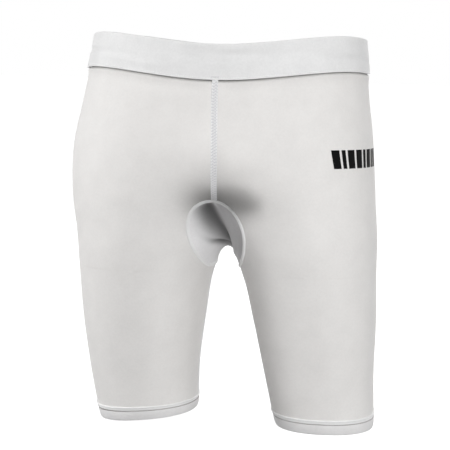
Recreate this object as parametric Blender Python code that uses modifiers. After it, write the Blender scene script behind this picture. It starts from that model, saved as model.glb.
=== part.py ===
"""Compression shorts: seven-inch stretch-knit shorts with a folded waistband and a crotch gusset.

Metres, +Z up, the hems standing on z = 0. The front faces -Y and the wearer's left is +X.
Every piece is laid on one worn shape: two tapering leg tubes of super-elliptic section that melt
together over the pelvis, with a soft bulge in front. A piece is placed by its height and direction
on that shape and by how far it lies above or below the cloth's outer face.
"""
import math

import bpy
import numpy as np

# ---------------------------------------------------------------- driving dimensions (metres)
RIM = 0.4448             # height that the waistband's top edge is measured down from
FRONT_DIP = 0.0158       # how much lower the rim is at the centre front
BACK_DIP = 0.0138        # and at the centre back
SIDE_DIP = 0.006         # the soft fold rounds off over each side
BAND = 0.038             # waistband's height
HEM = 0.0125             # hem band's height
CLOTH = 0.0010           # one layer of jersey
LINING = 0.0007          # one layer of the gusset's lining mesh
CASING = 0.0009          # one wall of the waistband's folded casing
ELASTIC = 0.0010         # thickness of the elastic in it
ELASTIC_TOP = 0.0036     # from the fold down to the elastic
ELASTIC_FOOT = 0.003     # from the casing's lower edge up to the elastic
GAP = 0.0003             # between pieces that touch
EDGE_GAP = 0.0006        # between the gusset's edge and the panels' inside the bound seam
LINING_GAP = 0.0009      # between the gusset and its lining, which are sewn only at the edge
LIFT = 0.0004            # from the cloth up to a seam that lies on it

GUSSET_TOP = 0.261       # height of the gusset's front and back tips
GUSSET_TIP = 0.181       # its lowest point, on the inner thigh
CROTCH = 0.200
GUSSET_INNER = 0.013     # sideways place of its lowest point
GUSSET_WIDE = {-1: 0.050, 1: 0.044}   # widens the oval between tip and thigh, right and left
GUSSET_TAPER = 1.14      # how fast that width dies out towards the thigh
GUSSET_FULLNESS = 0.90   # less than 1 keeps the oval forward on the thigh
TIP_CUT = 0.3            # the pointed ends are cut off this far into the first row

FRONT_SEAM = 0.0070      # widths of the flat seams
INSEAM = 0.0060
BINDING = 0.0042
SEAM_RISE = 0.0008
HEM_STITCH = 0.0044
HEM_WALL = 0.0020        # two layers of cloth, turned up
HEM_CHAMFER = 0.0003
JOIN = 0.0042            # height of the stitching that joins waistband and panels

# Worn shape, one row a height: outer and inner edge of a leg, depth in front and behind.
GIRTH = np.array([
    (0.000, 0.1588, 0.0452, 0.060, 0.066),
    (0.060, 0.1634, 0.0382, 0.071, 0.077),
    (0.120, 0.1681, 0.0283, 0.084, 0.092),
    (0.170, 0.1697, 0.0183, 0.094, 0.109),
    (0.200, 0.1707, 0.0070, 0.100, 0.122),
    (0.230, 0.1718, -0.0140, 0.104, 0.132),
    (0.270, 0.1725, -0.0520, 0.109, 0.137),
    (0.320, 0.1700, -0.1050, 0.113, 0.130),
    (0.380, 0.1605, -0.1555, 0.112, 0.118),
    (0.445, 0.1540, -0.1540, 0.106, 0.110),
])
# Stance: both legs lean towards the wearer's left, so each height is shifted along X.
LEAN = np.array([
    (0.00, 0.0184), (0.06, 0.0116), (0.12, 0.0078), (0.17, 0.0050), (0.222, 0.0023),
    (0.25, -0.0010), (0.28, -0.0030), (0.31, -0.0036), (0.36, -0.0018), (0.45, 0.0020),
])
ROUNDNESS = 2.25         # exponent of the section, 2 is an ellipse
BRIDGE = 0.040           # how softly the two legs melt together
BRIDGE_FULL = 0.09       # leg spacing at which the bridge has its full softness
FAR = 0.22               # longer than any ray from a leg's axis to the cloth
BULGE_PLACE = (0.012, 0.305)
BULGE_RADIUS = 0.042
BULGE_OUT = 0.016
BULGE_FADE = 0.05        # the bulge fades out this far from the side
RIGHT_HEM_RISE = 0.013   # the right hem is pulled up at the inner thigh
HEM_RISE_REACH = 0.15    # height over which that dies out

SEAM_DRIFT = 0.0058      # the front seam wanders towards the left over the bulge
DRIFT_HEIGHT = 0.308
DRIFT_REACH = 0.048
DRIFT_START = 0.012      # the panels' edges leave the gusset's tip over this height

PLACE = (-0.00125, -0.00419)   # brings the middle of the standing shorts over the origin

HINGE_Y = 0.0098         # line through both hip joints
HINGE_Z = 0.290
FLEX_RADIUS = 0.158      # split between hip and thigh cloth: distance from the hinge line, on the
FLEX_TAPER = 0.303       # centre plane, and how much it shrinks per metre outwards
FLEX_REACH = 0.25
FLEX_BLOCK = (0.48, 0.50, 0.40)
HIP_JOINT = 0.09         # hip joint's distance from the centre plane
FLEX_SIDES = 96

PRINT_HEIGHT = (0.2985, 0.3185)
PRINT_TURN = (-45.0, -4.0)   # degrees round the left leg's axis, 0 is straight out to the side
PRINT_FILM = 0.0002

# ---------------------------------------------------------------- mesh density
AROUND = 24              # columns of a leg panel
EDGE_STRIP = 0.0095      # share of the panel's width that its edge column takes, a seam's half-width
UPPER_ROWS = 9
GUSSET_ROWS = 8          # rows from the gusset's tip to its lowest point
LEG_ROWS = 7
GUSSET_COLUMNS = 7
WAIST_COLUMNS = 60
HEM_COLUMNS = 44
SEAM_POINTS = 4          # points across a seam

SIDES = {"right": -1, "left": 1}
FRONT, BACK = -1, 1


# ---------------------------------------------------------------- worn shape
def spline(x, stations, values):
    """Cubic Hermite curve through the stations, with slopes from their neighbours."""
    slope = np.gradient(values, stations)
    x = np.clip(x, stations[0], stations[-1])
    i = np.clip(np.searchsorted(stations, x) - 1, 0, len(stations) - 2)
    step = stations[i + 1] - stations[i]
    t = (x - stations[i]) / step
    rise = (1 + 2 * t) * (1 - t) ** 2 * values[i] + t * t * (3 - 2 * t) * values[i + 1]
    return rise + step * (t * (1 - t) ** 2 * slope[i] + t * t * (t - 1) * slope[i + 1])


def girth(z):
    """Leg axis' distance from the centre plane, half-width, and depths in front and behind."""
    outer, inner, front, back = (spline(z, GIRTH[:, 0], GIRTH[:, k]) for k in range(1, 5))
    return (outer + inner) / 2, (outer - inner) / 2, front, back


def leg_field(side, p):
    """About the distance outside one leg's super-elliptic tube, negative inside."""
    centre, half, front, back = girth(p[..., 2])
    across = side * p[..., 0] - centre
    depth = np.where(p[..., 1] < 0, front, back)
    power = np.abs(across / half) ** ROUNDNESS + np.abs(p[..., 1] / depth) ** ROUNDNESS
    reach = np.hypot(across, p[..., 1])
    return reach - reach / np.maximum(power ** (1 / ROUNDNESS), 1e-6)


def body_field(p):
    """Smooth union of both legs, less the bulge in front."""
    right, left = leg_field(-1, p), leg_field(1, p)
    softness = BRIDGE * np.clip(girth(p[..., 2])[0] / BRIDGE_FULL, 0, 1) + 1e-5
    melt = np.maximum(softness - np.abs(right - left), 0) / softness
    away = (p[..., 0] - BULGE_PLACE[0]) ** 2 + (p[..., 2] - BULGE_PLACE[1]) ** 2
    bulge = BULGE_OUT * np.exp(-away / BULGE_RADIUS ** 2) * np.clip(-p[..., 1] / BULGE_FADE, 0, 1)
    return np.minimum(right, left) - melt ** 3 * softness / 6 - bulge


def slope_of(p, step=5e-4):
    """Gradient of the field by central differences."""
    rises = [body_field(p + step * axis) - body_field(p - step * axis) for axis in np.eye(3)]
    return np.stack(rises, axis=-1) / (2 * step)


def facing(p):
    """Unit vectors straight out of the cloth."""
    slope = slope_of(p)
    return slope / np.linalg.norm(slope, axis=-1, keepdims=True)


def slide(p, free=(1, 1, 1), steps=8):
    """Slide points onto the worn shape down the field's slope, as far as each axis is free."""
    for _ in range(steps):
        slope = slope_of(p)
        way = slope * np.asarray(free)
        steepness = np.maximum(np.sum(slope * way, axis=-1, keepdims=True), 1e-3)
        p = p - body_field(p)[..., None] * way / steepness
    return p


def cast(origin, heading, far=FAR, near=0.004, halvings=36):
    """Where level rays that start inside the worn shape leave it, or their far end."""
    origin, heading = np.broadcast_arrays(origin, heading)
    low = np.full(origin.shape[:-1], near)
    high = np.minimum(np.broadcast_to(far, origin.shape[:-1]), FAR)
    for _ in range(halvings):
        middle = (low + high) / 2
        inside = body_field(origin + middle[..., None] * heading) < 0
        low = np.where(inside, middle, low)
        high = np.where(inside, high, middle)
    return origin + low[..., None] * heading


def stack(x, y, z):
    return np.stack(np.broadcast_arrays(x, y, z), axis=-1).astype(float)


def on_leg(side, turn, z, past=0.0):
    """Point on a leg at height z, no further in than some way past the centre plane.

    Turn is 0 straight out to the side and negative in front.
    """
    centre = girth(z)[0]
    outward = np.cos(turn)
    far = np.where(outward < 0, (centre + past) / np.maximum(-outward, 1e-6), FAR)
    return cast(stack(side * centre, 0.0, z), stack(side * outward, np.sin(turn), 0.0), far)


def on_centre(x, z, way):
    """Point in front (way -1) or behind (+1), at x and height z."""
    return cast(stack(x, 0.0, z), stack(0.0, float(way), 0.0))


def on_waist(turn, z):
    return cast(stack(0.0, 0.0, z), stack(np.cos(turn), np.sin(turn), 0.0))


def front_seam(z):
    """How far the front seam is from the centre plane: a bell over height."""
    return SEAM_DRIFT * np.exp(-((z - DRIFT_HEIGHT) / DRIFT_REACH) ** 2)


def rim_height(p):
    """Rim over a point: dips with the sine squared of its direction, and rounds off at the sides."""
    share = p[..., 1] ** 2 / (p[..., 0] ** 2 + p[..., 1] ** 2)
    return RIM - share * np.where(p[..., 1] < 0, FRONT_DIP, BACK_DIP) - SIDE_DIP * (1 - share) ** 8


def stand(p):
    """Take a point of the upright shape to the stance: legs lean, the right hem rides up."""
    fade = np.clip(1 - p[..., 2] / HEM_RISE_REACH, 0, 1) ** 2
    inward = np.clip((p[..., 0] + GIRTH[0, 1]) / (GIRTH[0, 1] - GIRTH[0, 2]), 0, 1)
    rise = RIGHT_HEM_RISE * inward * fade * (p[..., 0] < 0)
    lean = spline(p[..., 2], LEAN[:, 0], LEAN[:, 1])
    return stack(p[..., 0] + lean + PLACE[0], p[..., 1] + PLACE[1], p[..., 2] + rise)


# ---------------------------------------------------------------- gusset outline
def oval(side, u):
    """Gusset's outline on one side: u runs from the front tip (0) to the back tip (pi).

    Its half-width is sin u times the inner width plus a part that dies out as a power of cos u.
    """
    tall = np.abs(np.cos(u))
    x = np.sin(u) * (GUSSET_INNER + GUSSET_WIDE[side] * tall ** GUSSET_TAPER)
    front, back = girth(np.full(np.shape(u), GUSSET_TOP))[2:]
    y = -np.sign(np.cos(u)) * tall ** GUSSET_FULLNESS * np.where(np.cos(u) > 0, front, back)
    z = GUSSET_TIP + (GUSSET_TOP - GUSSET_TIP) * np.cos(u) ** 2
    return slide(stack(side * np.maximum(x, 0), y, z), free=(1, 1, 0))


def crotch_line(u):
    """Centre line of the gusset, on the centre plane, under the crotch."""
    front, back = girth(np.full(np.shape(u), GUSSET_TOP))[2:]
    y = -np.cos(u) * np.where(np.cos(u) > 0, front, back)
    z = CROTCH + (GUSSET_TOP - CROTCH) * np.cos(u) ** 2
    return slide(stack(0.0, y, z), free=stack(0.0, 1.0, np.sin(u) ** 2))


def gusset_grid(below):
    """Oval patch: rows run front to back, columns from the right edge to the left."""
    u = np.linspace(0, math.pi, 2 * GUSSET_ROWS + 1)
    middle = crotch_line(u)
    share = np.linspace(-1, 1, GUSSET_COLUMNS)
    edge = {side: oval(side, u) for side in (-1, 1)}
    for side, line in edge.items():
        width = np.linalg.norm(line - middle, axis=-1, keepdims=True)
        edge[side] = line + (middle - line) * EDGE_GAP / np.maximum(width, EDGE_GAP)
    target = np.where(share[None, :, None] < 0, edge[-1][:, None], edge[1][:, None])
    flat = middle[:, None] + (target - middle[:, None]) * np.abs(share)[None, :, None]
    flat[..., 2] -= 2 * EDGE_GAP * np.maximum(np.cos(2 * u), 0)[:, None]
    p = slide(flat, free=stack(1.0, 1.0, np.sin(u[:, None]) ** 2), steps=3)
    for tip, beside in ((0, 1), (-1, -2)):
        p[tip, :, 2] -= 2 * EDGE_GAP
        p[tip] = TIP_CUT * p[beside] + (1 - TIP_CUT) * p[tip]
    return p - below * facing(p)


# ---------------------------------------------------------------- leg panel
def panel_grid(side):
    """Leg panel from waist seam to hem. Columns run from the front edge round to the back edge."""
    share = np.concatenate([[0], np.linspace(EDGE_STRIP, 1 - EDGE_STRIP, AROUND - 2), [1]])
    up = np.linspace(1, 0, UPPER_ROWS)[:, None]
    z = GUSSET_TOP + (RIM - BAND - GUSSET_TOP) * up * np.ones(AROUND)
    for _ in range(4):
        edges = []
        fade = np.clip((z[:, 0] - GUSSET_TOP) / DRIFT_START, 0, 1)
        for column, way, drift in ((0, FRONT, front_seam(z[:, 0]) * fade), (-1, BACK, 0.0)):
            edge = on_centre(drift + side * GAP / 2, z[:, column], way)
            edges.append(np.arctan2(edge[:, 1], side * edge[:, 0] - girth(z[:, column])[0]))
        turn = edges[0][:, None] + (edges[1] - edges[0])[:, None] * share
        upper = on_leg(side, turn, z, past=2 * SEAM_DRIFT)
        z = GUSSET_TOP + (rim_height(upper) - BAND - GAP - GUSSET_TOP) * up

    u = np.linspace(0, math.pi / 2, GUSSET_ROWS + 1)[1:]
    front, back = oval(side, u), oval(side, math.pi - u)
    centre = girth(front[:, 2])[0]
    slit = GAP / 2 / (centre[-1] - GUSSET_INNER)
    start = np.maximum(np.arctan2(front[:, 1], side * front[:, 0] - centre), slit - math.pi)
    end = np.minimum(np.arctan2(back[:, 1], side * back[:, 0] - centre), math.pi - slit)
    start[-1], end[-1] = slit - math.pi, math.pi - slit
    middle = on_leg(side, start[:, None] + (end - start)[:, None] * share, front[:, 2][:, None])

    z = np.linspace(GUSSET_TIP, HEM + GAP, LEG_ROWS + 1)[1:, None]
    turn = (math.pi - slit) * (2 * share - 1)
    lower = on_leg(side, turn[None, :], z)
    return np.concatenate([upper, middle, lower])


def panel_heights(column, side=1):
    """Heights of the panel's rows at its first or last column, so that seams follow its facets."""
    return panel_grid(side)[:, column, 2]


# ---------------------------------------------------------------- mesh helpers
def add_object(name, vertices, faces, material, pivot=None):
    """Mesh object in the stance. Under a pivot its origin lies on the pivot's axis."""
    origin = np.array(pivot.location) if pivot else np.zeros(3)
    mesh = bpy.data.meshes.new(name)
    mesh.from_pydata((vertices - origin).tolist(), [], faces)
    mesh.update()
    mesh.materials.append(MATERIALS[material])
    mesh.shade_smooth()
    mesh.set_sharp_from_angle(angle=math.radians(40))
    obj = bpy.data.objects.new(name, mesh)
    shorts.objects.link(obj)
    obj.parent = pivot
    return obj


def weave(rows, columns, wrap_rows=False, wrap_columns=False):
    """Quads of a grid whose vertices are numbered row by row."""
    i, j = np.meshgrid(np.arange(rows - (not wrap_rows)), np.arange(columns - (not wrap_columns)),
                       indexing="ij")
    below, beside = (i + 1) % rows, (j + 1) % columns
    corners = (i * columns + j, below * columns + j, below * columns + beside, i * columns + beside)
    return np.stack(corners, axis=-1).reshape(-1, 4).tolist()


def skin(name, grid, thickness, material, outward, pivot=None):
    """Cloth of one thickness: an open grid in the outer face, thickened inwards."""
    points = stand(grid)
    across = np.cross(points[1, 0] - points[0, 0], points[0, 1] - points[0, 0])
    if np.dot(across, outward) < 0:
        points = points[:, ::-1]
    rows, columns = points.shape[:2]
    obj = add_object(name, points.reshape(-1, 3), weave(rows, columns), material, pivot)
    solidify = obj.modifiers.new("thickness", "SOLIDIFY")
    solidify.thickness = thickness
    solidify.offset = -1
    solidify.use_even_offset = True
    return obj


def sweep(name, sections, material, loop, pivot=None):
    """Solid lofted through closed sections. A loop joins the last to the first, else both are capped."""
    points = stand(sections)
    count, around = points.shape[:2]
    spine = points[1].mean(axis=0) - points[0].mean(axis=0)
    turn = np.cross(points[0], np.roll(points[0], -1, axis=0)).sum(axis=0)
    if np.dot(spine, turn) > 0:
        points = points[:, ::-1]
    faces = weave(count, around, wrap_rows=loop, wrap_columns=True)
    if not loop:
        last = (count - 1) * around
        faces.append(list(range(around)))
        faces.append([last + k for k in reversed(range(around))])
    return add_object(name, points.reshape(-1, 3), faces, material, pivot)


def strip(surface):
    """Sections of a flat seam. Surface gives the cloth's points, rows along and columns across."""
    out = facing(surface)
    crown = np.sqrt(np.clip(1 - np.linspace(-1, 1, SEAM_POINTS) ** 2, 0, 1))
    height = LIFT + SEAM_RISE * (0.45 + 0.55 * crown)
    top = surface + out * height[None, :, None]
    base = surface + out * LIFT
    return np.concatenate([base, top[:, ::-1]], axis=1)


def level_ring(place, profile):
    """Ring of closed sections: profile gives (outset, height above a level) pairs."""
    sections = []
    for outset, level in profile:
        p = place(level)
        out = facing(p) * np.array((1, 1, 0))
        sections.append(p + outset * out / np.linalg.norm(out, axis=-1, keepdims=True))
    return np.stack(sections, axis=1)


# ---------------------------------------------------------------- materials
def principled(name, colour, roughness, metallic=0.0):
    material = bpy.data.materials.new(name)
    material.use_nodes = True
    shader = material.node_tree.nodes["Principled BSDF"]
    shader.inputs["Base Color"].default_value = (*colour, 1)
    shader.inputs["Roughness"].default_value = roughness
    shader.inputs["Metallic"].default_value = metallic
    return material


# ---------------------------------------------------------------- cutters along the hip flex line
def flex_cutter(name, slack):
    """Everything below the hinge line and outside a double cone round it.

    The double cone turns into itself about the hinge line, so cloth split along it can swing.
    """
    end = FLEX_RADIUS - FLEX_TAPER * FLEX_REACH + slack
    profile = [(-FLEX_REACH, 0, 0), (-FLEX_REACH, 0, end), (0, 0, FLEX_RADIUS + slack),
               (FLEX_REACH, 0, end), (FLEX_REACH, 0, 0)]
    mesh = bpy.data.meshes.new(name + "_cone")
    mesh.from_pydata(profile, [(k, k + 1) for k in range(len(profile) - 1)], [])
    cone = bpy.data.objects.new(name + "_cone", mesh)
    cone.location = (0, HINGE_Y, HINGE_Z)
    turn = cone.modifiers.new("turn", "SCREW")
    turn.axis = "X"
    turn.steps = turn.render_steps = FLEX_SIDES
    turn.use_merge_vertices = True
    turn.merge_threshold = 0.00001
    turn.use_normal_flip = True
    cutters.objects.link(cone)

    bpy.ops.mesh.primitive_cube_add(size=1)
    block = bpy.context.object
    block.name = name
    block.location = (0, HINGE_Y, HINGE_Z - FLEX_BLOCK[2] / 2)
    block.scale = FLEX_BLOCK
    bpy.ops.object.transform_apply(location=False, rotation=False, scale=True)
    for holder in block.users_collection:
        holder.objects.unlink(block)
    cutters.objects.link(block)
    hollow = block.modifiers.new("hollow", "BOOLEAN")
    hollow.operation = "DIFFERENCE"
    hollow.object = cone
    for guide in (cone, block):
        guide.hide_render = True
        guide.display_type = "WIRE"
    return block


def split(obj, cutter, keep):
    """Keep what is inside ("INTERSECT") or outside ("DIFFERENCE") the cutter."""
    cut = obj.modifiers.new("hip flex line", "BOOLEAN")
    cut.operation = keep
    cut.object = cutter


# ---------------------------------------------------------------- pieces
def leg_panels():
    for word, side in SIDES.items():
        grid = panel_grid(side)
        outward = np.array((0.0, -1.0, 0.0))
        hip = skin(f"{word}_hip_panel", grid, CLOTH, "white jersey", outward)
        split(hip, hip_side, "DIFFERENCE")
        thigh = skin(f"{word}_thigh_panel", grid, CLOTH, "white jersey", outward, pivots[word])
        split(thigh, thigh_side, "INTERSECT")


def gusset():
    """Two layers of jersey and the bound seam round them."""
    outward = facing(gusset_grid(0)[:1, :1])[0, 0]
    skin("crotch_gusset", gusset_grid(0), CLOTH, "white jersey", outward)
    skin("gusset_lining", gusset_grid(CLOTH + LINING_GAP), LINING, "white mesh", outward)

    u = np.linspace(0, math.pi, 2 * GUSSET_ROWS + 1)
    line = np.concatenate([oval(1, u), oval(-1, u[::-1][1:-1])])
    along = np.roll(line, -1, axis=0) - np.roll(line, 1, axis=0)
    across = np.cross(facing(line), along)
    across /= np.linalg.norm(across, axis=-1, keepdims=True)
    offsets = np.linspace(-BINDING / 2, BINDING / 2, SEAM_POINTS)
    surface = slide(line[:, None] + across[:, None] * offsets[None, :, None], steps=3)
    sweep("gusset_seam_tape", strip(surface), "seam thread", loop=True)


def centre_seams():
    """Flat seams from the waistband down to the gusset, in front and behind."""
    across = np.linspace(-FRONT_SEAM / 2, FRONT_SEAM / 2, SEAM_POINTS)
    for name, column, way in (("centre_front_seam_tape", 0, FRONT), ("centre_back_seam_tape", -1, BACK)):
        z = panel_heights(column)[:UPPER_ROWS]
        clearance = BINDING / 2 + GAP * 2
        z = np.clip(z, GUSSET_TOP + clearance, z[0] - clearance)
        drift = front_seam(z) if way == FRONT else 0 * z
        line = on_centre(across[None, :] + drift[:, None], z[:, None], way)
        sweep(name, strip(line), "seam thread", loop=False)


def inseams():
    """Flat seams down the inner thighs, split where the leg swings."""
    across = np.linspace(-INSEAM / 2, INSEAM / 2, SEAM_POINTS)
    z = panel_heights(0)[UPPER_ROWS + GUSSET_ROWS - 1:]
    z = np.clip(z, HEM + HEM_STITCH + 3 * GAP, GUSSET_TIP - BINDING / 2 - 2 * GAP)
    for word, side in SIDES.items():
        centre = girth(z)[0][:, None]
        origin = stack(side * centre, across[None, :], z[:, None])
        sections = strip(cast(origin, stack(-float(side), 0.0, 0.0), centre))
        top = sweep(f"{word}_inseam_tape_top", sections, "seam thread", loop=False)
        split(top, hip_side, "DIFFERENCE")
        tape = sweep(f"{word}_inseam_tape", sections, "seam thread", loop=False, pivot=pivots[word])
        split(tape, thigh_side, "INTERSECT")


def hems():
    """Turned-up hem bands, flat underneath, and the cover stitching over their top edge."""
    turn = np.linspace(0, 2 * math.pi, HEM_COLUMNS, endpoint=False)
    band = [(0, HEM), (0, HEM_CHAMFER), (-HEM_CHAMFER, 0), (HEM_CHAMFER - HEM_WALL, 0),
            (-HEM_WALL, HEM_CHAMFER), (-HEM_WALL, HEM)]
    low = HEM + GAP / 2
    stitch = [(LIFT, low), (LIFT, low + HEM_STITCH), (LIFT + 0.8 * SEAM_RISE, low + 0.8 * HEM_STITCH),
              (LIFT + SEAM_RISE, low + 0.5 * HEM_STITCH), (LIFT + 0.8 * SEAM_RISE, low + 0.2 * HEM_STITCH)]
    for word, side in SIDES.items():
        def place(level, side=side):
            return on_leg(side, turn, np.full(turn.shape, level))
        for name, profile, material in (("hem_band", band, "white jersey"),
                                        ("hem_coverstitch", stitch, "seam thread")):
            sweep(f"{word}_{name}", level_ring(place, profile), material, loop=True, pivot=pivots[word])


def waistband():
    """Folded casing, the elastic in its fold, and the raised seam that joins it to the panels."""
    turn = np.linspace(0, 2 * math.pi, WAIST_COLUMNS, endpoint=False)
    girdle = on_waist(turn, np.full(turn.shape, RIM - BAND / 2))
    rim = rim_height(girdle)

    def place(level):
        return on_waist(turn, rim + level)

    depth = 2 * CASING + ELASTIC + 2 * GAP
    levels = np.linspace(-BAND, -depth / 2, 3)
    arc = np.radians((135, 90, 45))

    def fold(outset, radius, heights):
        """One wall up, over the fold and down the other side."""
        up = [(outset, level) for level in heights]
        over = [(-depth / 2 - radius * math.cos(a), -depth / 2 + radius * math.sin(a)) for a in arc]
        down = [(-depth - outset, level) for level in heights[::-1]]
        return up + over + down

    casing = fold(0, depth / 2, levels) + fold(-CASING, depth / 2 - CASING, levels)[::-1]
    sweep("waistband_casing", level_ring(place, casing), "white jersey", loop=True)

    near, far = -CASING - GAP, -CASING - GAP - ELASTIC
    heights = (ELASTIC_FOOT - BAND, -BAND / 2, -ELASTIC_TOP)
    rubber = [(near, level) for level in heights] + [(far, level) for level in heights[::-1]]
    sweep("waistband_elastic", level_ring(place, rubber), "elastic", loop=True)

    roll = [(LIFT, -BAND - JOIN / 2), (LIFT, -BAND + JOIN / 2), (LIFT + SEAM_RISE, -BAND + JOIN / 4),
            (LIFT + 1.3 * SEAM_RISE, -BAND), (LIFT + SEAM_RISE, -BAND - JOIN / 4)]
    sweep("waistband_join_stitching", level_ring(place, roll), "seam thread", loop=True)


def side_print():
    """Thin film printed on the left panel, round the side of the hip."""
    turn = np.radians(np.linspace(*PRINT_TURN, 12))
    z = np.linspace(PRINT_HEIGHT[1], PRINT_HEIGHT[0], 3)
    patch = on_leg(1, turn[None, :], z[:, None])
    patch = patch + facing(patch) * (LIFT + PRINT_FILM)
    skin("side_print_transfer", patch, PRINT_FILM, "black film", facing(patch)[0, 0])


# ---------------------------------------------------------------- build
for old in list(bpy.data.objects):
    bpy.data.objects.remove(old)

shorts = bpy.data.collections.new("compression_shorts")
cutters = bpy.data.collections.new("cutters")
for collection in (shorts, cutters):
    bpy.context.scene.collection.children.link(collection)

MATERIALS = {
    "white jersey": principled("white jersey", (0.86, 0.86, 0.87), 0.62),
    "white mesh": principled("white mesh", (0.80, 0.80, 0.82), 0.75),
    "seam thread": principled("seam thread", (0.90, 0.90, 0.90), 0.50),
    "elastic": principled("elastic", (0.78, 0.78, 0.77), 0.70),
    "black film": principled("black film", (0.01, 0.01, 0.012), 0.42),
}

pivots = {}
for word, side in SIDES.items():
    pivot = bpy.data.objects.new(f"{word}_leg_swing_pivot", None)
    pivot.location = (side * HIP_JOINT, HINGE_Y, HINGE_Z)
    shorts.objects.link(pivot)
    pivots[word] = pivot

hip_side = flex_cutter("hip_side_cutter", -GAP / 2)
thigh_side = flex_cutter("thigh_side_cutter", GAP / 2)

leg_panels()
gusset()
centre_seams()
inseams()
hems()
waistband()
side_print()
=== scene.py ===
"""Compression shorts: the finish.

Everything is laid on the worn shape that the shorts' solids were made on: two leg tubes of
super-elliptic section melting together over the pelvis, with a soft bulge in front. Its numbers
are repeated here, in metres, with +Z up, the front facing -Y and the wearer's left at +X.
Cloth, seams and threads are grids over that shape, pushed in or out along its normals.
"""
import math

import bpy
import numpy as np
from mathutils import Matrix, Vector


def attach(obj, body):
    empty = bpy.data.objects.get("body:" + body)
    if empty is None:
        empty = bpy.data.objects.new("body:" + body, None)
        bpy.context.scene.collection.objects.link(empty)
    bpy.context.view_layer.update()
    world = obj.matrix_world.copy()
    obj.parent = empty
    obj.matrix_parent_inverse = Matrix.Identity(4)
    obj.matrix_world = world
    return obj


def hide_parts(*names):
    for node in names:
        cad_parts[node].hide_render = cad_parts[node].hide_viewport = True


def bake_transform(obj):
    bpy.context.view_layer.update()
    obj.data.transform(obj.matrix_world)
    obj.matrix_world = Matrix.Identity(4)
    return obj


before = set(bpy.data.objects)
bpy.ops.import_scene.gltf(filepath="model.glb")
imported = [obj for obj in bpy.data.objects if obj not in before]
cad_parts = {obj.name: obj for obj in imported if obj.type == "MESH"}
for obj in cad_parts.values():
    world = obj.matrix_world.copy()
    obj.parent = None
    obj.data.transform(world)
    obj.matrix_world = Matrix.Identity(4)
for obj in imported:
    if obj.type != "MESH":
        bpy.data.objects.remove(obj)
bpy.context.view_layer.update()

# ---------------------------------------------------------------- worn shape, as in the solids
RIM = 0.4448             # height that the waistband's top edge is measured down from
FRONT_DIP = 0.0158
BACK_DIP = 0.0138
SIDE_DIP = 0.006
BAND = 0.038             # waistband's height
HEM = 0.0125             # hem band's height
GUSSET_TOP = 0.261
GUSSET_TIP = 0.181
CROTCH = 0.200
GUSSET_INNER = 0.013
GUSSET_WIDE = {-1: 0.050, 1: 0.044}
GUSSET_TAPER = 1.14
GUSSET_FULLNESS = 0.65   # drawn a little further forward on the thigh than in the solids
GIRTH = np.array([
    # height, outer edge, inner edge, depth in front, depth behind
    (0.000, 0.1588, 0.0452, 0.060, 0.066),
    (0.060, 0.1634, 0.0382, 0.071, 0.077),
    (0.120, 0.1681, 0.0283, 0.084, 0.092),
    (0.170, 0.1697, 0.0183, 0.094, 0.109),
    (0.200, 0.1707, 0.0070, 0.100, 0.122),
    (0.230, 0.1718, -0.0140, 0.104, 0.132),
    (0.270, 0.1725, -0.0520, 0.109, 0.137),
    (0.320, 0.1700, -0.1050, 0.113, 0.130),
    (0.380, 0.1605, -0.1555, 0.112, 0.118),
    (0.445, 0.1540, -0.1540, 0.106, 0.110),
])
LEAN = np.array([
    (0.00, 0.0184), (0.06, 0.0116), (0.12, 0.0078), (0.17, 0.0050), (0.222, 0.0023),
    (0.25, -0.0010), (0.28, -0.0030), (0.31, -0.0036), (0.36, -0.0018), (0.45, 0.0020),
])
ROUNDNESS = 2.25
BRIDGE = 0.040
BRIDGE_FULL = 0.09
FAR = 0.22
BULGE_PLACE = (0.012, 0.305)
BULGE_RADIUS = 0.042
BULGE_OUT = 0.016
BULGE_FADE = 0.05
RIGHT_HEM_RISE = 0.013
HEM_RISE_REACH = 0.15
SEAM_DRIFT = 0.0058      # the front seam wanders towards the left over the bulge
DRIFT_HEIGHT = 0.308
DRIFT_REACH = 0.048
DRIFT_START = 0.012
PLACE = (-0.00125, -0.00419)

MM = 0.001
SIDES = {"right": -1, "left": 1}
FRONT, BACK = -1, 1


def spline(x, stations, values):
    """Cubic Hermite curve through the stations, with slopes from their neighbours."""
    slope = np.gradient(values, stations)
    x = np.clip(x, stations[0], stations[-1])
    i = np.clip(np.searchsorted(stations, x) - 1, 0, len(stations) - 2)
    step = stations[i + 1] - stations[i]
    t = (x - stations[i]) / step
    rise = (1 + 2 * t) * (1 - t) ** 2 * values[i] + t * t * (3 - 2 * t) * values[i + 1]
    return rise + step * (t * (1 - t) ** 2 * slope[i] + t * t * (t - 1) * slope[i + 1])


def girth(z):
    """Leg axis' distance from the centre plane, half-width, and depths in front and behind."""
    outer, inner, front, back = (spline(z, GIRTH[:, 0], GIRTH[:, k]) for k in range(1, 5))
    return (outer + inner) / 2, (outer - inner) / 2, front, back


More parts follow.
